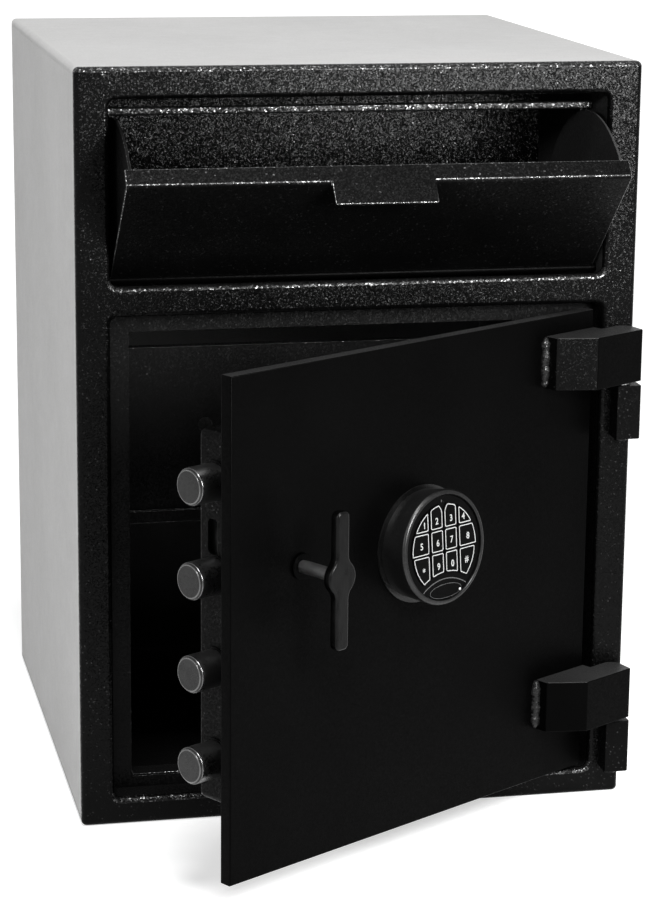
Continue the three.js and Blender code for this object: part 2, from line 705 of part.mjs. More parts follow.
// Flanged bush in the door, spindle through it, handle outside and cam inside
function addHandle(group) {
  const bore = spindleRadius + boreGap;
  const sleeve = bore + bushWall;
  const bush = turnedAlongY([
    [bore, -bushFlangeHeight], [bushFlangeRadius, -bushFlangeHeight], [bushFlangeRadius, -seatGap],
    [sleeve, -seatGap], [sleeve, doorThickness], [bore, doorThickness], [bore, -bushFlangeHeight],
  ]);
  piece(group, "spindle_bush", bush, plainSteel, handleX, doorRecess, handleZ);
  const camY = doorBackY + camFrontGap;
  const outside = doorRecess - handleGap;
  const spindle = rodAlongY(outside, camY + camThickness, 0, 0, spindleRadius, smallRoundSteps);
  piece(group, "handle_spindle", spindle, handleSteel, handleX, 0, handleZ);
  const grip = roundedBackward(handleOutline(), handleThickness, handleEdgeRound);
  piece(group, "door_handle", grip, handleSteel, handleX, outside - seatGap - handleThickness, handleZ);
  const arm = backward(rectangle(0, crankRadius, -camArmHalfWidth, camArmHalfWidth), camThickness);
  const hub = rodAlongY(0, camThickness, 0, 0, camHubRadius);
  const end = rodAlongY(0, camThickness, crankRadius, 0, camArmHalfWidth);
  const pin = rodAlongY(0, camThickness + crankPinLength, crankRadius, 0, crankPinRadius, smallRoundSteps);
  const hole = rodAlongY(-overrun, camThickness + overrun, 0, 0, bore, smallRoundSteps);
  const cam = cut(join(hub, arm, end, pin), hole).rotateY(-crankStart);
  piece(group, "bolt_cam", cam, plainSteel, handleX, camY, handleZ);
}

// The twelve keys stand in a round field, whose lower edge is an arc, in four columns and three rows.
// The two keys in the middle of the top row have a slanted corner.
function keyOutline(column, row, grow) {
  const outer = column === 0 || column === keyColumns - 1;
  const side = column < keyColumns / 2 ? -1 : 1;
  const near = (outer ? keyOuterEdge : keyInnerEdge) - grow;
  const far = (outer ? keyFieldRadius : keyInnerEdge + keyInnerWidth) + grow;
  const middle = keyRowTop - row * keyRowPitch;
  const above = row === 0 ? keyTopRowExtra : 0;
  const below = row === keyRows - 1 ? keyBottomRowExtra : 0;
  const low = middle - keyHeight / 2 - below - grow;
  const high = middle + keyHeight / 2 + above + grow;
  const corners = [[near, low], [far, low], [far, high]];
  if (outer || row > 0) {
    corners.push([near, high]);
  } else {
    const shift = grow * (Math.hypot(1, keyCutSlope) - 1);
    corners.push([near - shift + (high - keyCutLow) * keyCutSlope, high]);
    corners.push([near, keyCutLow + shift / keyCutSlope]);
  }
  return polygon(corners.map(([x, z]) => [side * x, z]));
}

function keySolid(index, y0, y1, grow) {
  const row = Math.floor(index / keyColumns);
  const radius = row === keyRows - 1 ? keyFieldLowRadius : keyFieldRadius;
  const cell = backward(keyOutline(index % keyColumns, row, grow), y1 - y0).translate(0, y0, 0);
  const field = rodAlongY(y0 - overrun, y1 + overrun, 0, 0, radius + grow, roundSteps * 2);
  const below = rodAlongY(
    y0 - overrun, y1 + overrun, 0, -keyFieldArcDrop, keyFieldArcRadius - grow, roundSteps * 2,
  );
  return cut(common(cell, field), below).translate(0, 0, -keyFieldDrop);
}

const keyNames = ["1", "2", "3", "4", "5", "6", "7", "8", "star", "9", "0", "hash"];

// Housing: a leaning drum with a rounded rim and a recess, on a flat foot ring
function keypadHousing() {
  const front = -keypadHeight;
  const inside = keypadFaceRadius + seatGap;
  const rim = Array.from({ length: edgeSteps + 1 }, (_, i) => {
    const angle = (i / edgeSteps) * Math.PI / 2;
    return [
      keypadRadius - keypadRimRound * (1 - Math.sin(angle)),
      front + keypadRimRound * (1 - Math.cos(angle)),
    ];
  });
  const drum = turnedAlongY([
    [0, front + keypadRecess], [inside, front + keypadRecess], [inside, front + keypadRimChamfer],
    [inside + keypadRimChamfer, front], ...rim, [keypadRootRadius, 0],
    [keypadRootRadius, overrun / 2], [0, overrun / 2],
  ], roundSteps * 2).rotateX(-THREE.MathUtils.degToRad(keypadTiltDegrees));
  const ring = rodAlongY(-keypadFootHeight, overrun / 2, 0, 0, keypadFootRadius, roundSteps * 2);
  const wide = keypadFootRadius + overrun;
  const behind = box(-wide, wide, -seatGap, overrun, -wide, wide);
  return cut(join(drum, ring), behind);
}

// Housing on the door; in its recess the face plate with a pocket for each key, the keys and a light
function addKeypad(door) {
  piece(door, "keypad_housing", keypadHousing(), keypadPlastic, keypadX, doorRecess, keypadZ);
  const group = new THREE.Group();
  group.position.set(keypadX, doorRecess, keypadZ);
  group.rotation.x = -THREE.MathUtils.degToRad(keypadTiltDegrees);
  door.add(group);
  const faceBack = keypadRecess - keypadHeight - seatGap;
  const faceFront = faceBack - keypadFaceThickness;
  const face = rodAlongY(faceFront, faceBack, 0, 0, keypadFaceRadius, roundSteps * 2);
  const keyBack = keypadRecess - keypadHeight - keyTravel - keyGap;
  const pockets = keyNames.map((_, i) => (
    keySolid(i, faceFront - overrun, faceBack + overrun, keyGap)
  ));
  piece(group, "keypad_face", cut(face, ...pockets), facePlastic);
  keyNames.forEach((name, i) => {
    piece(group, `key_${name}`, keySolid(i, faceFront - keyRise, keyBack, 0), keyRubber);
  });
  const light = rodAlongY(-lightHeight, 0, 0, 0, lightRadius, smallRoundSteps);
  piece(group, "status_light", light, lightLens, lightX, faceFront - seatGap, -lightDrop);
}

// Lock case behind the keypad, with a pocket in its left end for the lock's own bolt
function addLock(group) {
  const left = lockLeftX;
  const low = keypadZ - lockHeight / 2;
  const boltFront = behindDoor + lockDepth / 2 - lockBoltDepth / 2;
  const boltLow = keypadZ - lockBoltWidth / 2;
  const body = box(left, left + lockWidth, behindDoor, behindDoor + lockDepth, low, low + lockHeight);
  const inside = lockBoltLength - lockBoltShows;
  const pocket = box(
    left - overrun, left + inside + lockPocketSpare,
    boltFront - boreGap, boltFront + lockBoltDepth + boreGap,
    boltLow - boreGap, boltLow + lockBoltWidth + boreGap,
  );
  piece(group, "lock_case", cut(body, pocket), lockCasting);
  const bolt = box(0, lockBoltLength, 0, lockBoltDepth, 0, lockBoltWidth);
  piece(group, "lock_bolt", bolt, plainSteel, left - lockBoltShows, boltFront, boltLow);
}

// Everything that swings on the hinges, drawn as on the closed door and turned as a whole
function addDoor(safe) {
  const swing = new THREE.Group();
  swing.position.set(hingeX, hingeY, 0);
  swing.rotation.z = THREE.MathUtils.degToRad(doorOpenDegrees);
  const door = new THREE.Group();
  door.position.set(-hingeX, -hingeY, 0);
  swing.add(door);
  safe.add(swing);
  addDoorPlate(door);
  Object.entries(hingeStrapBottoms).forEach(([place, bottom]) => addStrap(door, place, bottom));
  addCover(door);
  addGuideBar(door);
  addBolts(door);
  addCarrier(door);
  addHandle(door);
  addKeypad(door);
  addLock(door);
}

// Point at an angle and distance from the drawer's pivot, in its closed frame
function polar(radius, degrees) {
  const angle = THREE.MathUtils.degToRad(degrees);
  return [radius * Math.cos(angle), radius * Math.sin(angle)];
}

// Point along the floor plate, and a distance above or below it
function alongFloor(reach, above) {
  const [alongY, alongZ] = polar(1, drawerFloorDegrees);
  return [reach * alongY - above * alongZ, reach * alongZ + above * alongY];
}

// Front panel with its flange and pull tab; outline in y and z, y = 0 on the outer face
function drawerFront() {
  const bottom = drawerRodRadius + seatGap;
  const top = drawerPanelHeight;
  const under = top - drawerFlangeThickness;
  const outline = new THREE.Shape();
  outline.moveTo(0, bottom);
  outline.lineTo(drawerPanelThickness, bottom);
  outline.lineTo(drawerPanelThickness, under);
  outline.lineTo(drawerFlangeLength, under);
  outline.lineTo(drawerFlangeLength, top);
  outline.lineTo(drawerBendRound, top);
  outline.absarc(drawerBendRound, top - drawerBendRound, drawerBendRound, Math.PI / 2, Math.PI);
  const panel = sideways(outline, drawerHalfWidth * 2).translate(-drawerHalfWidth, 0, 0);
  const tabHalf = drawerTabWidth / 2;
  const tabCorner = drawerTabRound - drawerTabReach;
  const tabRoot = drawerBendRound * 2;
  const tabOutline = new THREE.Shape();
  tabOutline.moveTo(-tabHalf, tabRoot);
  tabOutline.lineTo(-tabHalf, tabCorner);
  tabOutline.absarc(drawerTabRound - tabHalf, tabCorner, drawerTabRound, Math.PI, Math.PI * 3 / 2);
  tabOutline.lineTo(tabHalf - drawerTabRound, -drawerTabReach);
  tabOutline.absarc(tabHalf - drawerTabRound, tabCorner, drawerTabRound, -Math.PI / 2, 0);
  tabOutline.lineTo(tabHalf, tabRoot);
  const tab = upright(tabOutline, drawerFlangeThickness).translate(0, 0, under);
  return join(panel, tab);
}

// Sector-shaped side with a lug that meets the stop bar when the drawer is open
function drawerSide() {
  const front = drawerPanelThickness + seatGap;
  const radius = drawerSideRadius;
  const lugRadius = radius + drawerStopLugRise;
  const lugHigh = drawerStopLugDegrees;
  const lugLow = lugHigh - drawerStopLugWidthDegrees;
  const radians = THREE.MathUtils.degToRad;
  const outline = new THREE.Shape();
  outline.moveTo(front, drawerRodRadius);
  outline.lineTo(...alongFloor(drawerSideApex, -drawerSideBelow));
  outline.lineTo(...alongFloor(radius, -drawerSideBelow));
  outline.absarc(0, 0, radius, radians(drawerFloorDegrees), radians(lugLow));
  outline.lineTo(...polar(lugRadius, lugLow));
  outline.lineTo(...polar(lugRadius, lugHigh));
  outline.absarc(0, 0, radius, radians(lugHigh), Math.acos(front / radius));
  return sideways(outline, drawerSideThickness, roundSteps / 2);
}

// Everything that tilts on the pivot rod, drawn as on the closed drawer and turned as a whole
function addDrawer(safe) {
  const drawer = new THREE.Group();
  drawer.position.set(0, drawerPivotY, drawerPivotZ);
  drawer.rotation.x = THREE.MathUtils.degToRad(drawerOpenDegrees);
  safe.add(drawer);
  piece(drawer, "drawer_front", drawerFront(), frontPaint);
  const side = drawerSide();
  piece(drawer, "drawer_side_left", side, frontPaint, -drawerSideInnerX - drawerSideThickness, 0, 0);
  piece(drawer, "drawer_side_right", side.clone(), frontPaint, drawerSideInnerX, 0, 0);
  const floorHalf = drawerSideInnerX - seatGap;
  const floor = polygon([
    alongFloor(drawerSideApex, 0), alongFloor(drawerFloorLength, 0),
    alongFloor(drawerFloorLength, -drawerFloorThickness), alongFloor(drawerSideApex, -drawerFloorThickness),
  ]);
  piece(drawer, "drawer_floor", sideways(floor, floorHalf * 2).translate(-floorHalf, 0, 0), frontPaint);
  const rod = rodAlongX(-cheekOuterX, cheekOuterX, 0, 0, drawerRodRadius, smallRoundSteps);
  piece(drawer, "drawer_pivot_rod", rod, plainSteel);
}

function buildSafe() {
  const safe = new THREE.Group();
  safe.name = "drop_safe";
  safe.position.y = -bodyDepth / 2;
  addShell(safe);
  addFrame(safe);
  addHopper(safe);
  Object.entries(hingeStrapBottoms).forEach(([place, bottom]) => addFixedHinge(safe, place, bottom));
  addDoor(safe);
  addDrawer(safe);
  return safe;
}

export default buildSafe();
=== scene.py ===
import json
import math
import random

import bmesh
import bpy
from mathutils import Matrix, Vector


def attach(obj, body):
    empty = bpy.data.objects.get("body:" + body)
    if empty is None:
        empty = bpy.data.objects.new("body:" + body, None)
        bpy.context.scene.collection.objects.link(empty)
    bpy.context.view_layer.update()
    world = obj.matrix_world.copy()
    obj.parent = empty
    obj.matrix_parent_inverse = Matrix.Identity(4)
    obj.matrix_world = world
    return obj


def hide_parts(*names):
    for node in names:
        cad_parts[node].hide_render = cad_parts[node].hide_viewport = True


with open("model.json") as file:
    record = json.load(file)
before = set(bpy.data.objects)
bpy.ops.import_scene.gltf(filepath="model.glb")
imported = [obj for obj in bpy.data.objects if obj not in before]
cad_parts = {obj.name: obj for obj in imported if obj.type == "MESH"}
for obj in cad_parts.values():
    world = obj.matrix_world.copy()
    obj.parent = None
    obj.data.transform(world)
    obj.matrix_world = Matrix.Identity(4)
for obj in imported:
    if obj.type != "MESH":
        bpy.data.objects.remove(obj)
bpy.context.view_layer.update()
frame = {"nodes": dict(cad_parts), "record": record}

MM = 0.001
BODY_OF = {node: body for body, nodes in frame["record"]["behaviour"]["bodies"].items() for node in nodes}
SLOT_OF = {row["node"]: row["material_slot"] for row in frame["record"]["subparts"]}

# The safe: half its depth, and the middle of its shell
HALF_DEPTH = 254 * MM
SHELL_MIDDLE = Vector((0, 0, 0.343))

# The open door: hinge axis, and the turn from the closed door
HINGE = Vector((241 * MM, -11.25 * MM - HALF_DEPTH, 0))
DOOR_ANGLE = math.radians(31.9)
DOOR = Matrix.Translation(HINGE) @ Matrix.Rotation(DOOR_ANGLE, 4, "Z") @ Matrix.Translation(-HINGE)

# The keypad's own frame: its axis runs along y, out of the door and slightly up
KEYPAD_TILT = math.radians(4.2)
KEY_FIELD_DROP = 1.1 * MM
KEYPAD_PLACE = (0.3 * MM, 8.75 * MM - HALF_DEPTH, 286.5 * MM)
KEYPAD = (DOOR @ Matrix.Translation(KEYPAD_PLACE) @ Matrix.Rotation(-KEYPAD_TILT, 4, "X")
          @ Matrix.Translation((0, 0, -KEY_FIELD_DROP)))

# Camera, fitted to the edges of the safe
FOCAL_PIXELS = 2779.7
LONG_SIDE_PIXELS = 900
SENSOR_WIDTH = 36
CLIP_START, CLIP_END = 0.05, 100
CAMERA_YAW, CAMERA_PITCH, CAMERA_ROLL = (math.radians(a) for a in (12.376, 13.471, 0.582))
CAMERA_PLACE = Vector((-0.5470, -2.3644 - HALF_DEPTH, 0.9224))


def make_camera():
    yaw, pitch, roll = CAMERA_YAW, CAMERA_PITCH, CAMERA_ROLL
    ahead = Vector((math.sin(yaw) * math.cos(pitch), math.cos(yaw) * math.cos(pitch), -math.sin(pitch)))
    level = Vector((math.cos(yaw), -math.sin(yaw), 0))
    above = level.cross(ahead)
    right = math.cos(roll) * level + math.sin(roll) * above
    up = math.cos(roll) * above - math.sin(roll) * level
    data = bpy.data.cameras.new("camera")
    data.sensor_width = SENSOR_WIDTH
    data.lens = FOCAL_PIXELS * SENSOR_WIDTH / LONG_SIDE_PIXELS
    data.clip_start, data.clip_end = CLIP_START, CLIP_END
    camera = bpy.data.objects.new("camera", data)
    turn = Matrix((right, up, -ahead)).transposed().to_4x4()
    camera.matrix_world = Matrix.Translation(CAMERA_PLACE) @ turn
    bpy.context.collection.objects.link(camera)
    bpy.context.scene.camera = camera


# The values between which a noise texture mostly lies
NOISE_LOW, NOISE_HIGH = 0.3, 0.7
MIDDLE_COLOUR = (0.5, 0.5, 0.5)
WHITE = (1, 1, 1, 1)


class Shader:
    """A node material that is put together from short calls."""

    def __init__(self, name, **sockets):
        self.material = bpy.data.materials.new(name)
        self.material.use_nodes = True
        self.tree = self.material.node_tree
        self.bsdf = self.tree.nodes["Principled BSDF"]
        for key, value in sockets.items():
            self.bsdf.inputs[key.replace("_", " ")].default_value = value
        self.place = self.node("ShaderNodeTexCoord").outputs["Object"]

    def node(self, kind, settings=(), **inputs):
        node = self.tree.nodes.new(kind)
        for key, value in dict(settings).items():
            setattr(node, key, value)
        for key, value in inputs.items():
            self.feed(node.inputs[key.replace("_", " ")], value)
        return node

    def feed(self, socket, value):
        if isinstance(value, bpy.types.NodeSocket):
            self.tree.links.new(value, socket)
        else:
            socket.default_value = value

    def stretched(self, scale):
        mapping = self.node("ShaderNodeMapping", Vector=self.place)
        mapping.inputs["Scale"].default_value = scale
        return mapping.outputs["Vector"]

    def noise(self, scale, detail=2.0, roughness=0.5, at=None):
        node = self.node("ShaderNodeTexNoise", Vector=at or self.place, Scale=scale, Detail=detail,
                         Roughness=roughness)
        return node.outputs["Fac"]

    def voronoi(self, feature, scale):
        return self.node("ShaderNodeTexVoronoi", {"feature": feature}, Vector=self.place, Scale=scale)

    def spread(self, value, low, high, to_low=0, to_high=1):
        node = self.node("ShaderNodeMapRange", Value=value, From_Min=low, From_Max=high, To_Min=to_low,
                         To_Max=to_high)
        return node.outputs["Result"]

    def levelled(self, noise, to_low=0, to_high=1):
        """A noise, spread over the whole range between two values."""
        return self.spread(noise, NOISE_LOW, NOISE_HIGH, to_low, to_high)

    def blend(self, value, first, second):
        """Colours or sockets, mixed by a value."""
        node = self.node("ShaderNodeMix", {"data_type": "RGBA"})
        self.feed(node.inputs[0], value)
        for socket, colour in ((node.inputs[6], first), (node.inputs[7], second)):
            self.feed(socket, colour if isinstance(colour, bpy.types.NodeSocket) else (*colour, 1))
        return node.outputs[2]

    def combined(self, operation, first, second):
        node = self.node("ShaderNodeMath", {"operation": operation})
        self.feed(node.inputs[0], first)
        self.feed(node.inputs[1], second)
        return node.outputs[0]

    def add(self, first, second):
        return self.combined("ADD", first, second)

    def times(self, first, second):
        return self.combined("MULTIPLY", first, second)

    def vector(self, operation, first, second=None):
        node = self.node("ShaderNodeVectorMath", {"operation": operation})
        self.feed(node.inputs[0], first)
        if operation == "SCALE":
            node.inputs["Scale"].default_value = second
        elif second is not None:
            self.feed(node.inputs[1], second)
        return node.outputs[0]

    def chance(self, colour):
        return self.node("ShaderNodeTexWhiteNoise", Vector=colour).outputs["Value"]

    def facets(self, colour, tilt):
        """The surface's normal, leaning a random way in each cell."""
        lean = self.vector("SCALE", self.vector("SUBTRACT", colour, MIDDLE_COLOUR), tilt)
        straight = self.node("ShaderNodeNewGeometry").outputs["Normal"]
        return self.vector("NORMALIZE", self.vector("ADD", straight, lean))

    def bump(self, height, distance, normal=None):
        node = self.node("ShaderNodeBump", Height=height, Distance=distance, Strength=1.0)
        if normal:
            self.feed(node.inputs["Normal"], normal)
        self.feed(self.bsdf.inputs["Normal"], node.outputs["Normal"])

    def colour(self, value, first, second):
        self.feed(self.bsdf.inputs["Base Color"], self.blend(value, first, second))

    def roughness(self, value):
        self.feed(self.bsdf.inputs["Roughness"], value)


def grey(value, warm=0.0):
    return (value * (1 + warm), value, value * (1 - warm))


# Powder coat: its patches, from where on a grain is bright, and the finer relief on the grains
PATCH_NOISE = dict(scale=9.0, detail=3.0, roughness=0.55)
PATCH_PULL = 0.1
BRIGHT_START, BRIGHT_FULL = 1.05, 1.08
ROUGHNESS_SWING = 0.05
GLOSS_GRAIN, RELIEF_GRAIN = 0.5, 1.3
COAT_HEIGHT = 0.00012
# Orange peel of the shell's paint, its slow drift in tone, its gloss and its dimples
PEEL_NOISE = dict(scale=620.0, detail=2.0, roughness=0.6)
DRIFT_NOISE = dict(scale=5.0, detail=3.0, roughness=0.5)
PEEL_SHARE, DRIFT_SHARE = 0.8, 0.6
PEEL_LOW, PEEL_HIGH = 0.45, 0.95
PEEL_GLOSS_SCALE = 60.0
DIMPLE_SCALE, DIMPLE_SHARE = 420.0, 0.4
# Steel: the detail of its lines, and its handling marks, mixed half and half
LINE_DETAIL = dict(detail=3.0, roughness=0.6)
CLOUD_SCALE = 40.0
HALF = 0.5
RUBBER_GLOSS_GRAIN = 0.3


def pebbled_paint(name, dark, light, gloss, tilt, rough, grain=800.0, bright=0.0, tone=0.028):
    """Black powder coat: small shiny grains that lean every way; a few of them are brighter."""
    s = Shader(name, Specular_IOR_Level=gloss)
    cells = s.voronoi("F1", grain).outputs["Color"]
    patch = s.noise(**PATCH_NOISE)
    base = s.blend(s.levelled(patch), grey(dark), grey(light))
    luck = s.add(s.chance(cells), s.times(patch, PATCH_PULL))
    mask = s.spread(luck, BRIGHT_START - bright, BRIGHT_FULL - bright)
    s.feed(s.bsdf.inputs["Base Color"], s.blend(mask, base, grey(tone)))
    s.feed(s.bsdf.inputs["Metallic"], mask)
    s.roughness(s.levelled(s.noise(grain * GLOSS_GRAIN), rough - ROUGHNESS_SWING, rough + ROUGHNESS_SWING))
    s.bump(s.noise(grain * RELIEF_GRAIN, **LINE_DETAIL), COAT_HEIGHT, s.facets(cells, tilt))
    return s.material


def shell_paint(name, dark, light, rough, gloss, warm):
    """Pale paint with a fine orange peel."""
    s = Shader(name, Specular_IOR_Level=gloss)
    fine = s.noise(**PEEL_NOISE)
    drift = s.noise(**DRIFT_NOISE)
    cloud = s.spread(s.add(s.times(fine, PEEL_SHARE), s.times(drift, DRIFT_SHARE)), PEEL_LOW, PEEL_HIGH)
    s.colour(cloud, grey(dark, warm), grey(light, warm))
    s.roughness(s.levelled(s.noise(PEEL_GLOSS_SCALE), *rough))
    dimples = s.voronoi("SMOOTH_F1", DIMPLE_SCALE).outputs["Distance"]
    s.bump(s.add(fine, s.times(dimples, DIMPLE_SHARE)), COAT_HEIGHT)
    return s.material


def steel(name, dark, light, rough, stretch=(1, 1, 1), grain=300.0, height=0.00002):
    """Bare or plated steel with fine lines along one direction and cloudy handling marks."""
    s = Shader(name, Metallic=1.0)
    lines = s.noise(grain, at=s.stretched(stretch), **LINE_DETAIL)
    cloud = s.noise(CLOUD_SCALE, **LINE_DETAIL)
    marks = s.add(s.times(lines, HALF), s.times(cloud, HALF))
    s.colour(s.levelled(marks), grey(dark), grey(light))
    s.roughness(s.levelled(marks, *rough))
    s.bump(lines, height)
    return s.material


def plain(name, dark, light, rough, gloss, grain=500.0, height=0.00003):
    """Rubber and plastic."""
    s = Shader(name, Specular_IOR_Level=gloss)
    fine = s.noise(grain)
    s.colour(s.levelled(fine), grey(dark), grey(light))
    s.roughness(s.levelled(s.noise(grain * RUBBER_GLOSS_GRAIN), *rough))
    s.bump(fine, height)
    return s.material


def smooth(name, dark, light, rough, gloss, cloud_scale, gloss_scale):
    """Printed lines and the light's lens: no relief, only a faint cloud."""
    s = Shader(name, Specular_IOR_Level=gloss)
    s.colour(s.noise(cloud_scale), grey(dark), grey(light))
    s.roughness(s.levelled(s.noise(gloss_scale), *rough))
    return s.material


INK = dict(rough=(0.5, 0.65), gloss=0.2, cloud_scale=1500.0, gloss_scale=700.0)
# Every material: its kind, and its values by name
LOOKS = {
    shell_paint: {
        "shell_paint": dict(dark=0.47, light=0.58, rough=(0.5, 0.62), gloss=0.15, warm=0.006),
    },
    pebbled_paint: {
        "front_paint": dict(dark=0.0006, light=0.0014, gloss=0.06, tilt=0.27, rough=0.18, grain=1000.0,
                            bright=0.03),
        "door_paint": dict(dark=0.0004, light=0.0008, gloss=0.014, tilt=0.12, rough=0.34, grain=900.0,
                           bright=-0.1),
        "inner_paint": dict(dark=0.003, light=0.006, gloss=0.035, tilt=0.25, rough=0.35, bright=0.01),
        # painted light: a lighter copy of the inner paint for the parts in the drawer's shadow
        "shadow_fill_paint": dict(dark=0.024, light=0.034, gloss=0.05, tilt=0.25, rough=0.35, bright=-0.1),
        # the shell's inside: its own dark grey, lightened further as painted light for the light that stays
        # inside the safe
        "inside_grey_and_fill_paint": dict(dark=0.07, light=0.1, gloss=0.05, tilt=0.25, rough=0.35, bright=0.01),
        "drawer_paint": dict(dark=0.001, light=0.002, gloss=0.03, tilt=0.22, rough=0.34, bright=0.03),
        # painted highlight: a lighter, glossier paint on the top faces of the door and its hinge straps
        "door_top_highlight": dict(dark=0.01, light=0.018, gloss=0.1, tilt=0.2, rough=0.4),
        # painted highlight: lighter, glossy edges with many bright grains on the sill, the chute panel and
        # the boltwork cover
        "strong_edge_glint": dict(dark=0.03, light=0.06, gloss=0.4, tilt=0.5, rough=0.38, grain=900.0, bright=0.4,
                          tone=0.4),
        # painted highlight: more and brighter grains for the frame's upward rounds, the stop bar and softened
        # edges
        "edge_glint_paint": dict(dark=0.003, light=0.006, gloss=0.13, tilt=0.4, rough=0.3, grain=760.0, bright=0.25,
                           tone=0.08),
        # painted highlight along the drawer's fold and edges
        "drawer_fold_glint": dict(dark=0.012, light=0.024, gloss=0.25, tilt=0.45, rough=0.34, grain=860.0,
                            bright=0.32, tone=0.2),
        "weld_paint": dict(dark=0.004, light=0.008, gloss=0.15, tilt=0.5, rough=0.3, grain=520.0, bright=0.1),
        # painted glint on the ends of the weld beads
        "weld_glint": dict(dark=0.006, light=0.012, gloss=0.5, tilt=0.8, rough=0.2, grain=420.0, bright=0.5),
    },
    steel: {
        "bolt_steel": dict(dark=0.022, light=0.038, rough=(0.22, 0.34), grain=420.0),
        # painted highlight: the bolts' sides and chamfered rims wear lighter copies of their steel
        "bolt_side_sheen": dict(dark=0.16, light=0.24, rough=(0.24, 0.36), grain=420.0),
        "bolt_rim_glint": dict(dark=0.09, light=0.15, rough=(0.2, 0.3)),
        "spindle_steel": dict(dark=0.45, light=0.6, rough=(0.26, 0.36)),
        "drum_side": dict(dark=0.03, light=0.055, rough=(0.36, 0.46), grain=500.0, height=0.00003),
        "plain_steel": dict(dark=0.22, light=0.34, rough=(0.3, 0.45)),
        "dark_steel": dict(dark=0.008, light=0.016, rough=(0.35, 0.5)),
        "handle_steel": dict(dark=0.008, light=0.014, rough=(0.25, 0.38), stretch=(1, 1, 0.2), grain=400.0),
        "keypad_shell": dict(dark=0.02, light=0.035, rough=(0.26, 0.36), grain=500.0, height=0.00003),
        "lock_metal": dict(dark=0.35, light=0.5, rough=(0.4, 0.55)),
    },
    plain: {
        "keypad_face": dict(dark=0.0008, light=0.0016, rough=(0.35, 0.5), gloss=0.02),
        "key_rubber": dict(dark=0.0008, light=0.0016, rough=(0.4, 0.55), gloss=0.02),
    },
    smooth: {
        "light_lens": dict(dark=0.35, light=0.6, rough=(0.08, 0.16), gloss=0.8, cloud_scale=400.0,
                           gloss_scale=300.0),
        "key_outline": dict(dark=0.22, light=0.34, **INK),
        "key_number": dict(dark=0.5, light=0.75, **INK),
        "faint_print": dict(dark=0.04, light=0.07, **INK),
    },
}
MATERIALS = {name: make(name, **values) for make, group in LOOKS.items() for name, values in group.items()}


def wear(obj, material):
    obj.data.materials.clear()
    obj.data.materials.append(MATERIALS[material])


def new_piece(name, mesh, material, body):
    obj = bpy.data.objects.new(name, mesh)
    bpy.context.collection.objects.link(obj)
    wear(obj, material)
    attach(obj, body)
    return obj


# Nodes that look different from the rest of their slot; the right cheek and the drawer's right side wear a
# lighter paint, painted light in the drawer's shadow
LOOK_OF = {
    "hopper_back_plate": "front_paint", "hopper_cheek_left": "front_paint",
    "hopper_cheek_right": "shadow_fill_paint", "door_jamb": "inner_paint", "door_stop_flange": "inner_paint",
    "door_sill": "inner_paint", "spindle_bush": "door_paint", "hinge_pin_lower": "dark_steel",
    "hinge_pin_upper": "dark_steel", "drawer_pivot_rod": "door_paint", "hinge_strap_lower": "door_paint",
    "hinge_strap_upper": "door_paint", "hinge_knuckle_lower": "drawer_paint",
    "hinge_knuckle_upper": "drawer_paint", "drawer_front": "drawer_paint",
    "boltwork_cover": "drawer_paint", "handle_spindle": "spindle_steel", "drawer_side_left": "inner_paint",
    # the stop bar wears the edge paint: painted highlight
    "drawer_side_right": "shadow_fill_paint", "drawer_stop_bar": "edge_glint_paint",
}
# Nodes whose softened edges wear a lighter, glossier paint than their faces: painted highlight lines along
# the edges
EDGE_LOOK = {
    "front_frame": "edge_glint_paint", "door_jamb": "edge_glint_paint", "door_stop_flange": "edge_glint_paint",
    "door_sill": "strong_edge_glint", "chute_panel": "strong_edge_glint", "drawer_front": "drawer_fold_glint",
    "drawer_side_left": "edge_glint_paint", "drawer_side_right": "edge_glint_paint", "boltwork_cover": "strong_edge_glint",
    **{f"locking_bolt_{i}": "bolt_rim_glint" for i in (1, 2, 3, 4)},
}
# Widths of the softened edges, in metres; a node with 0 keeps its own edges
EDGE_WIDTHS = {
    "front_frame": 0, "door_jamb": 0.0006, "door_stop_flange": 0.0008, "door_sill": 0.0006,
    "hopper_cheek_left": 0.0003, "hopper_cheek_right": 0.0003, "hopper_back_plate": 0.0003,
    "drawer_stop_bar": 0.0018, "chute_panel": 0.0006,
    "hinge_knuckle_lower": 0.0012, "hinge_knuckle_upper": 0.0012,
    "hinge_strap_lower": 0.0010, "hinge_strap_upper": 0.0010,
    "drawer_front": 0.0007, "drawer_side_left": 0.0005, "drawer_side_right": 0.0005,
    "boltwork_cover": 0.0004, "door_handle": 0, "handle_spindle": 0.0004,
    "keypad_housing": 0, "keypad_face": 0.0002, "status_light": 0.0003,
    "body_top": 0, "body_bottom": 0, "body_side_left": 0.0004, "body_side_right": 0.0004,
    "body_back": 0.0004, "hinge_washer_lower": 0.0004, "hinge_washer_upper": 0.0004,
    "spindle_bush": 0.0005, "door_plate": 0,
    **{f"locking_bolt_{i}": 0.0006 for i in (1, 2, 3, 4)},
}
KEY_EDGE_WIDTH = 0.0002
EDGE_STEPS = 3
EDGE_ANGLE = math.radians(30)
SHARP_ANGLE = math.radians(40)
WELD_DISTANCE = 0.000002
FLAT_ANGLE = math.radians(0.4)
FLAT_WEIGHT = 80
# How far a face's normal has to lean one way to count as facing that way
SLIGHTLY, MOSTLY, NEARLY = 0.15, 0.5, 0.9
# The part of the drawer's rounded fold that catches the light, given a lighter, glossier paint as a painted
# highlight: how far it faces ahead and up
FOLD_AHEAD = 0.78
FOLD_UP = (0.25, 0.5)


def faces_keypad_rim(face):
    """The outer round of the keypad's housing."""
    axis = KEYPAD.to_3x3() @ Vector((0, 1, 0))
    from_middle = face.center - KEYPAD.translation
    aside = from_middle - axis * from_middle.dot(axis)
    return abs(face.normal.dot(axis)) < MOSTLY and face.normal.dot(aside) > 0


def strap_face(face):
    """2 for the strap's top, 1 for its ramp and 0 for the rest."""
    closed = DOOR.to_3x3().inverted() @ face.normal
    return 2 if closed.z > NEARLY else int(closed.x < -SLIGHTLY)


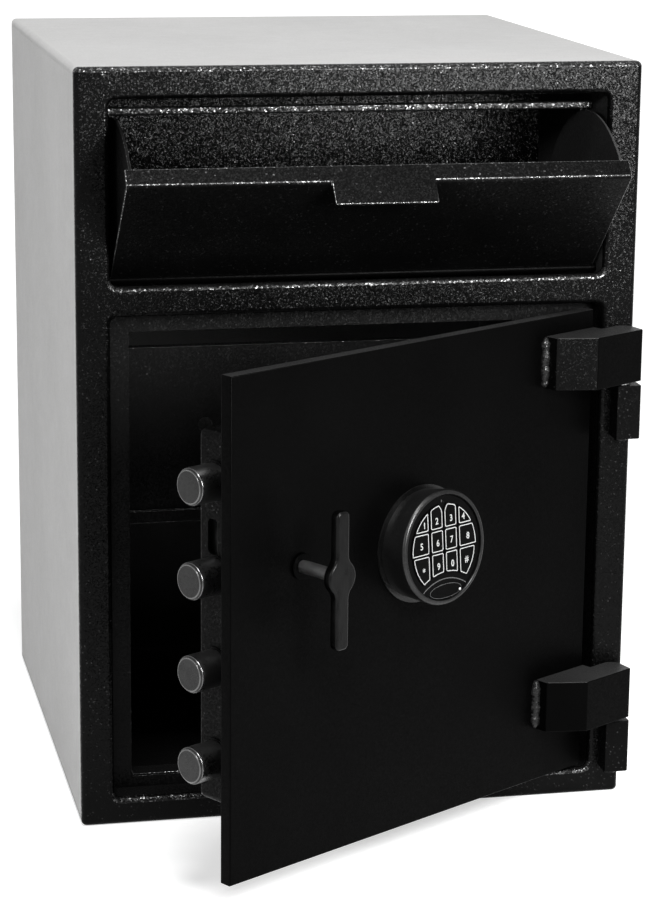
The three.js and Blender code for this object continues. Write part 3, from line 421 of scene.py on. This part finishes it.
def further_looks(node):
    """A node's further materials after its first, and the function that tells which of them a face wears."""
    edge = [EDGE_LOOK[node]] if node in EDGE_LOOK else []
    if SLOT_OF[node] == "shell_paint":
        # the shell's inside faces: the bottom wears the dark inner paint, the walls a dark grey lightened as
        # painted light
        inside = "inner_paint" if node == "body_bottom" else "inside_grey_and_fill_paint"
        return [inside], lambda face: face.normal.dot(face.center - SHELL_MIDDLE) < 0
    # the frame's faces that lean up and ahead wear the edge paint: a painted highlight along its top edges
    if node == "front_frame":
        return edge, lambda face: face.normal.z > SLIGHTLY and face.normal.y < -SLIGHTLY
    if node == "drawer_front":
        return edge, lambda face: face.normal.y < -FOLD_AHEAD and FOLD_UP[0] < face.normal.z < FOLD_UP[1]
    # a bolt's chamfer and sides wear lighter copies of its steel: painted highlight
    if node.startswith("locking_bolt"):
        along = DOOR.to_3x3() @ Vector((-1, 0, 0))
        return edge + ["bolt_side_sheen"], lambda face: 2 * (abs(face.normal.dot(along)) < MOSTLY)
    if node.startswith("hinge_strap"):
        # the upper strap's ramp wears the sparkling frame paint and the lower one the dull door paint:
        # painted highlight and painted shade
        ramp = "front_paint" if node.endswith("upper") else "door_paint"
        # the strap's top wears the lighter paint of the door's top: painted highlight
        return [ramp, "door_top_highlight"], strap_face
    # the door's top face wears a lighter paint: painted highlight
    if node == "door_plate":
        return ["door_top_highlight"], lambda face: face.normal.z > NEARLY
    if node == "keypad_housing":
        return ["drum_side"], faces_keypad_rim
    return edge, None


def dress(node, width, material=None):
    """The node's own shape with softened edges and smooth rounds takes its place."""
    work = bmesh.new()
    work.from_mesh(frame["nodes"][node].data)
    bmesh.ops.remove_doubles(work, verts=work.verts, dist=WELD_DISTANCE)
    bmesh.ops.dissolve_limit(work, angle_limit=FLAT_ANGLE, verts=work.verts, edges=work.edges)
    mesh = bpy.data.meshes.new(node + "_form")
    work.to_mesh(mesh)
    work.free()
    slot = SLOT_OF[node]
    obj = new_piece(node + "_form", mesh, material or slot, BODY_OF[node])
    mesh.shade_smooth()
    if not width:
        mesh.set_sharp_from_angle(angle=SHARP_ANGLE)
    looks, pick = further_looks(node)
    for look in looks:
        mesh.materials.append(MATERIALS[look])
    if pick:
        for face in mesh.polygons:
            face.material_index = int(pick(face))
    if width:
        bevel = obj.modifiers.new("edges", "BEVEL")
        bevel.material = 1 if node in EDGE_LOOK else -1
        bevel.width = width
        bevel.segments = EDGE_STEPS
        bevel.limit_method = "ANGLE"
        bevel.angle_limit = EDGE_ANGLE
        bevel.use_clamp_overlap = node != "drawer_front"
        bevel.harden_normals = False
    normals = obj.modifiers.new("normals", "WEIGHTED_NORMAL")
    normals.keep_sharp = True
    normals.weight = FLAT_WEIGHT
    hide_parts(node)


def dress_nodes():
    for node, obj in frame["nodes"].items():
        if node in EDGE_WIDTHS:
            dress(node, EDGE_WIDTHS[node], LOOK_OF.get(node))
        elif node.startswith("key_"):
            dress(node, KEY_EDGE_WIDTH)
        else:
            wear(obj, LOOK_OF.get(node, SLOT_OF[node]))


# Signs on the keys: the middle of each, in mm from the keypad's axis
SIGN_PLACES = {
    "1": (-23.5, 24), "2": (-8.2, 25.5), "3": (9.3, 25.5), "4": (24.5, 24.5),
    "5": (-27.7, 6.5), "6": (-7.8, 6.3), "7": (9.3, 6.7), "8": (29.5, 6.5),
    "star": (-26, -14.5), "9": (-7.8, -14.3), "0": (9.5, -14.3), "hash": (27, -14.3),
}
SIGNS = {"star": "*", "hash": "#"}
SIGN_SIZE = 0.0080
SIGN_BOLDNESS = 0.018
SIGN_NARROWING = 0.92
PRINT_HEIGHT = 0.00012
# The line round each key: its width, its distance from the key's edge, and its rounded corners
LINE_WIDTH = 0.0008
OUTLINE_INSET = 0.00055
OUTLINE_GAP = 0.0012
OUTLINE_ROUND = 0.0018
ROUND_STEPS = 4
ROUND_SHARE = 0.45
NEARLY_STRAIGHT = math.radians(150)
LEAST_MITRE = 0.35
FRONT_TOLERANCE = 0.00001
DIGITS = 6


def front_outline(node):
    """The front face's edge of a piece of the keypad, as points in x and z, with its place along y."""
    back = KEYPAD.inverted()
    points = [back @ v.co for v in frame["nodes"][node].data.vertices]
    front = min(p.y for p in points)
    flat = {(round(p.x, DIGITS), round(p.z, DIGITS)) for p in points if p.y < front + FRONT_TOLERANCE}
    cx, cz = (sum(q[i] for q in flat) / len(flat) for i in (0, 1))
    loop = sorted(flat, key=lambda q: math.atan2(q[1] - cz, q[0] - cx))
    return [Vector(q) for q in loop], front


def trimmed(points):
    """Thins out a loop: of two close points, the sharper corner stays."""
    def bend(i):
        return (points[i] - points[i - 1]).angle(points[(i + 1) % len(points)] - points[i])

    kept = []
    for i, point in enumerate(points):
        if not kept or (point - points[kept[-1]]).length > OUTLINE_GAP:
            kept.append(i)
        elif bend(i) > bend(kept[-1]):
            kept[-1] = i
    return [points[i] for i in kept]


def inset(points, distance):
    """Moves each side of a loop that runs anticlockwise inwards."""
    moved = []
    for i, point in enumerate(points):
        before, after = points[i - 1], points[(i + 1) % len(points)]
        a, b = (point - before).normalized(), (after - point).normalized()
        na, nb = Vector((-a.y, a.x)), Vector((-b.y, b.x))
        middle = (na + nb).normalized()
        moved.append(point + middle * distance / max(middle.dot(na), LEAST_MITRE))
    return moved


def rounded(points, radius):
    """Replaces each sharp corner of a loop by a short curve."""
    made = []
    for i, point in enumerate(points):
        before, after = points[i - 1], points[(i + 1) % len(points)]
        a, b = (before - point), (after - point)
        if a.angle(b) > NEARLY_STRAIGHT:
            made.append(point)
            continue
        start = point + a.normalized() * min(radius, a.length * ROUND_SHARE)
        end = point + b.normalized() * min(radius, b.length * ROUND_SHARE)
        for k in range(ROUND_STEPS + 1):
            t = k / ROUND_STEPS
            made.append(start.lerp(point, t).lerp(point.lerp(end, t), t))
    return made


def ribbon(work, outer, inner, back, closed=True):
    """A thin raised line between two loops, in x and z, standing on the plane y = back."""
    front = back - PRINT_HEIGHT
    rows = [[work.verts.new((p.x, y, p.y)) for p in line]
            for line, y in ((outer, back), (outer, front), (inner, front), (inner, back))]
    count = len(outer)
    for i in range(count if closed else count - 1):
        j = (i + 1) % count
        for low, high in zip(rows, rows[1:] + rows[:1]):
            work.faces.new((low[i], low[j], high[j], high[i]))
    if not closed:
        for i in (0, count - 1):
            work.faces.new([row[i] for row in rows])


def lettered(work, text, centre, back, material):
    """A raised sign, with its middle at the centre."""
    curve = bpy.data.curves.new("sign", "FONT")
    curve.body = text
    curve.size = SIGN_SIZE
    curve.extrude = PRINT_HEIGHT / 2
    curve.offset = SIGN_SIZE * SIGN_BOLDNESS
    carrier = bpy.data.objects.new("sign", curve)
    bpy.context.collection.objects.link(carrier)
    bpy.context.view_layer.update()
    mesh = bpy.data.meshes.new_from_object(carrier.evaluated_get(bpy.context.evaluated_depsgraph_get()))
    xs, ys = ([v.co[i] for v in mesh.vertices] for i in (0, 1))
    middle = Vector(((min(xs) + max(xs)) / 2, (min(ys) + max(ys)) / 2, 0))
    for vertex in mesh.vertices:
        q = vertex.co - middle
        vertex.co = (centre.x + q.x * SIGN_NARROWING, back - PRINT_HEIGHT / 2 - q.z, centre.y + q.y)
    known = len(work.faces)
    work.from_mesh(mesh)
    work.faces.ensure_lookup_table()
    for face in work.faces[known:]:
        face.material_index = material
    bpy.data.objects.remove(carrier)
    bpy.data.curves.remove(curve)
    bpy.data.meshes.remove(mesh)


def finish_mesh(work, name, transform):
    bmesh.ops.recalc_face_normals(work, faces=work.faces)
    mesh = bpy.data.meshes.new(name)
    work.to_mesh(mesh)
    work.free()
    mesh.transform(transform)
    return mesh


def make_key_prints():
    """The line round each key's front and the sign inside it."""
    for name, (x, z) in SIGN_PLACES.items():
        points, front = front_outline("key_" + name)
        edge = rounded(inset(trimmed(points), OUTLINE_INSET), OUTLINE_ROUND)
        work = bmesh.new()
        ribbon(work, edge, inset(edge, LINE_WIDTH), front)
        lettered(work, SIGNS.get(name, name), Vector((x * MM, z * MM)), front, 1)
        mesh = finish_mesh(work, "print_" + name, KEYPAD)
        piece = new_piece("print_" + name, mesh, "key_outline", "key_" + name)
        piece.data.materials.append(MATERIALS["key_number"])


# Lines on the keypad's face, in mm and in degrees from straight up: the curve under the keys, the bare oval
# place below it and the dot above
FACE_LINES = (
    dict(radius_x=46.4, radius_z=46.4, middle=(0, -72.9), first=-34.5, last=34.5, steps=32, width=0.8),
    dict(radius_x=19.3, radius_z=6.0, middle=(1, -37.3), first=0, last=360, steps=48, width=0.35),
    dict(radius_x=0.6, radius_z=0.6, middle=(-0.5, 41.6), first=0, last=360, steps=12, width=0.5),
)


def face_line(work, front, radius_x, radius_z, middle, first, last, steps, width):
    """A raised line along an ellipse or a part of one."""
    closed = last - first == 360
    angles = [math.radians(first + (last - first) * k / steps) for k in range(steps if closed else steps + 1)]
    points = [Vector(((middle[0] + radius_x * math.sin(a)) * MM, (middle[1] + radius_z * math.cos(a)) * MM))
              for a in angles]
    half = width * MM / 2
    outer, inner = [], []
    for i, point in enumerate(points):
        before = points[i - 1] if closed or i else point
        after = points[(i + 1) % len(points)] if closed or i < len(points) - 1 else point
        along = (after - before).normalized()
        aside = Vector((-along.y, along.x)) * half
        outer.append(point - aside)
        inner.append(point + aside)
    ribbon(work, outer, inner, front, closed)


def make_face_prints():
    _, front = front_outline("keypad_face")
    work = bmesh.new()
    for line in FACE_LINES:
        face_line(work, front, **line)
    new_piece("face_print", finish_mesh(work, "face_print", KEYPAD), "faint_print", "door")


# Weld beads at the ends of the hinge straps: the corner that they fill on the closed door, in mm, and for
# each its place, the strap's lower edge in mm, its radius and its random seed
WELD_CORNER = (156.6, 8.0)
WELD_START, WELD_END = 0.8, 47
WELD_DIRECTION = Vector((-1, -1, 0))
WELDS = (("lower", 81, 0.0052, 5), ("upper", 400.5, 0.0046, 3))
# A bead's rings, its lumps (more at its ends), its ripples and its ends, which wear a glossier paint as a
# painted glint
RING_GAP = 0.0011
RING_SIDES = 14
LEAST_CAP = 0.02
LUMPS = 0.16
END_LUMPS = 2.2
END_LENGTH = 0.007
RIPPLE_LENGTH = 0.0021
WANDER = 0.12
GLINT_LENGTH = 0.0058
GLINT_SHARE = 0.75


def weld_bead(name, body, start, end, toward, radius, transform, seed):
    """A lumpy bead that runs from start to end and bulges towards a direction; its ends are drops that wear a
    glossier, sparklier paint: a painted glint.
    """
    draw = random.Random(seed)
    along = (end - start).normalized()
    out = (toward - along * toward.dot(along)).normalized()
    side = along.cross(out)
    length = (end - start).length
    steps = int(length / RING_GAP)
    work = bmesh.new()
    rings = []
    phase = draw.random() * math.tau
    for k in range(steps + 1):
        t = k / steps
        nearest = min(t, 1 - t) * length
        cap = min(1.0, math.sqrt(max(LEAST_CAP, nearest / radius)))
        rough = LUMPS * (END_LUMPS if nearest < END_LENGTH else 1)
        wave = math.sin(phase + t * length / RIPPLE_LENGTH)
        ripple = 1 + rough * 0.5 * wave + rough * (draw.random() - 0.5)
        r = radius * cap * ripple
        centre = start.lerp(end, t) + side * (draw.random() - 0.5) * radius * WANDER
        rings.append([work.verts.new(centre + (out * math.cos(a) + side * math.sin(a)) * r)
                      for a in (math.tau * i / RING_SIDES for i in range(RING_SIDES))])
    for k, (first, second) in enumerate(zip(rings, rings[1:])):
        # painted glint: most faces near the bead's ends wear the glossier paint
        glinting = min(k, steps - 1 - k) * length / steps < GLINT_LENGTH
        for i in range(RING_SIDES):
            j = (i + 1) % RING_SIDES
            face = work.faces.new((first[i], first[j], second[j], second[i]))
            face.material_index = int(glinting and draw.random() < GLINT_SHARE)
    work.faces.new(rings[0])
    work.faces.new(list(reversed(rings[-1])))
    mesh = finish_mesh(work, name, transform)
    mesh.shade_smooth()
    bead = new_piece(name, mesh, "weld_paint", body)
    bead.data.materials.append(MATERIALS["weld_glint"])
    soft = bead.modifiers.new("soft", "SUBSURF")
    soft.levels = soft.render_levels = 1


def make_welds():
    """Beads between the door's face and the ends of the hinge straps."""
    x, y = WELD_CORNER[0] * MM, WELD_CORNER[1] * MM - HALF_DEPTH
    for place, bottom, radius, seed in WELDS:
        low, high = (Vector((x, y, (bottom + rise) * MM)) for rise in (WELD_START, WELD_END))
        weld_bead("strap_weld_" + place, "door", low, high, WELD_DIRECTION, radius, DOOR, seed)


# The studio: light from all around, the background's glow, and the floor's size and look
AMBIENT = 0.04
FLOOR_GLOW = 0.6
FLOOR_REACH = 30.0
FLOOR_GREYS = (0.59, 0.61)
FLOOR_CLOUD_SCALE = 3.0
FLOOR_ROUGHNESS, FLOOR_GLOSS = 0.9, 0.1
# Soft light from above: direction it comes from (azimuth, elevation), spread in degrees, strength
SKY_LIGHT = (-95, 68, 16, 2.9)
# Lamps: name, direction from the safe (azimuth, elevation), distance, side of the square, watts
LAMPS = (
    ("left_lamp", 167, 14, 2.8, 0.5, 2),
    ("front_left_lamp", -143, 20, 2.5, 0.3, 14),
    ("right_lamp", -70.7, 21.2, 1.136, 0.35, 24),
)
LAMP_TARGET = Vector((0, -0.2, 0.35))


def background_ray(tree):
    """1 where the background is seen directly, in a reflection or through glass."""
    path = tree.nodes.new("ShaderNodeLightPath")
    seen = path.outputs["Is Camera Ray"]
    for name in ("Is Glossy Ray", "Is Transmission Ray"):
        either = tree.nodes.new("ShaderNodeMath")
        either.operation = "MAXIMUM"
        tree.links.new(seen, either.inputs[0])
        tree.links.new(path.outputs[name], either.inputs[1])
        seen = either.outputs[0]
    return seen


def make_floor():
    mesh = bpy.data.meshes.new("floor")
    r = FLOOR_REACH
    mesh.from_pydata([(-r, -r, 0), (r, -r, 0), (r, r, 0), (-r, r, 0)], [], [(0, 1, 2, 3)])
    floor = bpy.data.objects.new("floor", mesh)
    bpy.context.collection.objects.link(floor)
    s = Shader("floor", Roughness=FLOOR_ROUGHNESS, Specular_IOR_Level=FLOOR_GLOSS, Emission_Color=WHITE)
    s.colour(s.noise(FLOOR_CLOUD_SCALE), *(grey(value) for value in FLOOR_GREYS))
    s.feed(s.bsdf.inputs["Emission Strength"], s.times(background_ray(s.tree), FLOOR_GLOW))
    mesh.materials.append(s.material)


def make_world():
    world = bpy.data.worlds.new("studio")
    bpy.context.scene.world = world
    world.use_nodes = True
    tree = world.node_tree
    background = tree.nodes["Background"]
    level = tree.nodes.new("ShaderNodeMapRange")
    level.inputs["To Min"].default_value = AMBIENT
    level.inputs["To Max"].default_value = 1.0
    tree.links.new(background_ray(tree), level.inputs["Value"])
    tree.links.new(level.outputs["Result"], background.inputs["Strength"])
    background.inputs["Color"].default_value = WHITE


def toward(azimuth, elevation):
    a, e = math.radians(azimuth), math.radians(elevation)
    return Vector((math.cos(a) * math.cos(e), math.sin(a) * math.cos(e), math.sin(e)))


def place_lamp(name, data, location, away):
    lamp = bpy.data.objects.new(name, data)
    lamp.location = location
    lamp.rotation_mode = "QUATERNION"
    lamp.rotation_quaternion = (-away).to_track_quat("-Z", "Y")
    bpy.context.collection.objects.link(lamp)


def make_lamps():
    azimuth, elevation, spread, strength = SKY_LIGHT
    data = bpy.data.lights.new("sky_light", "SUN")
    data.angle = math.radians(spread)
    data.energy = strength
    away = toward(azimuth, elevation)
    place_lamp("sky_light", data, away, away)
    for name, azimuth, elevation, distance, size, watts in LAMPS:
        data = bpy.data.lights.new(name, "AREA")
        data.shape = "SQUARE"
        data.size = size
        data.energy = watts
        away = toward(azimuth, elevation)
        place_lamp(name, data, LAMP_TARGET + away * distance, away)


make_camera()
dress_nodes()
make_key_prints()
make_face_prints()
make_welds()
make_floor()
make_world()
make_lamps()

bpy.context.scene.view_settings.view_transform = "Standard"
